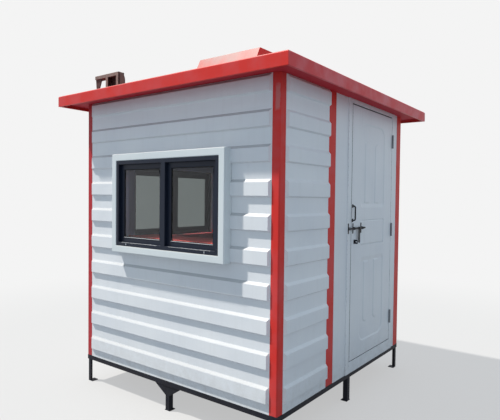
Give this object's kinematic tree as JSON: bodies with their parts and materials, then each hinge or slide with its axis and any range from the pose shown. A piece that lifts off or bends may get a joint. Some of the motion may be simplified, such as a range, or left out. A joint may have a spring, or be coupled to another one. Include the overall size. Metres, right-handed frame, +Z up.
{
  "type": "security guard booth",
  "caption": "Portable guard booth: ribbed white steel cabin on legs, red posts and flat red roof, two-leaf windows, hinged pressed steel door with slide bolt.",
  "frame": {"origin": "on the ground under the middle of the booth", "axes": "+Z up; the front wall with its window faces -Y, the door wall faces +X"},
  "size_m": [2.495, 2.45, 2.719],
  "materials": {
    "white_paint": "semi-gloss white enamel on pressed steel sheet",
    "red_paint": "gloss red enamel on steel",
    "black_steel": "black paint on mild steel",
    "lining_board": "pale grey lining board, matte",
    "floor_board": "cement board with grey vinyl",
    "black_aluminium": "black powder coat",
    "window_glass": "clear float glass",
    "hinge_steel": "bare steel, part painted",
    "black_hardware": "black lacquered iron",
    "rusty_steel": "rusted mild steel"
  },
  "bodies": {
    "booth": {"base_frame": "black_steel", "corner_legs": "black_steel", "middle_legs": "black_steel", "floor_panel": "floor_board", "post_front_left": "red_paint", "post_front_right": "red_paint", "post_back_right": "red_paint", "post_back_left": "red_paint", "door_side_post": "red_paint", "front_wall": "lining_board", "left_wall": "lining_board", "back_wall": "lining_board", "door_wall": "white_paint", "front_cladding": "white_paint", "left_cladding": "white_paint", "back_cladding": "white_paint", "door_side_cladding": "white_paint", "front_window_casing": "white_paint", "front_window_frame": "black_aluminium", "front_window_sashes": "black_aluminium", "front_window_glass": "window_glass", "left_window_casing": "white_paint", "left_window_frame": "black_aluminium", "left_window_sashes": "black_aluminium", "left_window_glass": "window_glass", "window_counter": "red_paint", "door_jambs": "white_paint", "door_head": "white_paint", "door_sill": "white_paint", "frame_hinges": "hinge_steel", "bolt_keeper": "black_hardware", "roof_panel": "red_paint", "ceiling_panel": "lining_board", "fascia_front": "red_paint", "fascia_right": "red_paint", "fascia_back": "red_paint", "fascia_left": "red_paint", "roof_cowl": "red_paint", "roof_bracket": "rusty_steel"},
    "door": {"door_leaf": "white_paint", "door_hinges": "hinge_steel", "door_handle": "black_hardware", "bolt_fittings": "black_hardware"},
    "bolt": {"bolt_rod": "black_hardware"},
    "hasp": {"hasp": "black_hardware"}
  },
  "joints": [
    {"name": "door_hinge", "type": "hinge", "parent": "booth", "child": "door", "pos_m": [1.086, 0.79825, 1.4065], "axis": [0, 0, 1], "range_deg": [0, 120]},
    {"name": "bolt_slide", "type": "slide", "parent": "door", "child": "bolt", "axis": [0, -1, 0], "range_m": [0, 0.03]},
    {"name": "hasp_swing", "type": "hinge", "parent": "bolt", "child": "hasp", "pos_m": [1.0945, 0.0845, 1.45], "axis": [0, -1, 0], "range_deg": [0, 100]}
  ]
}
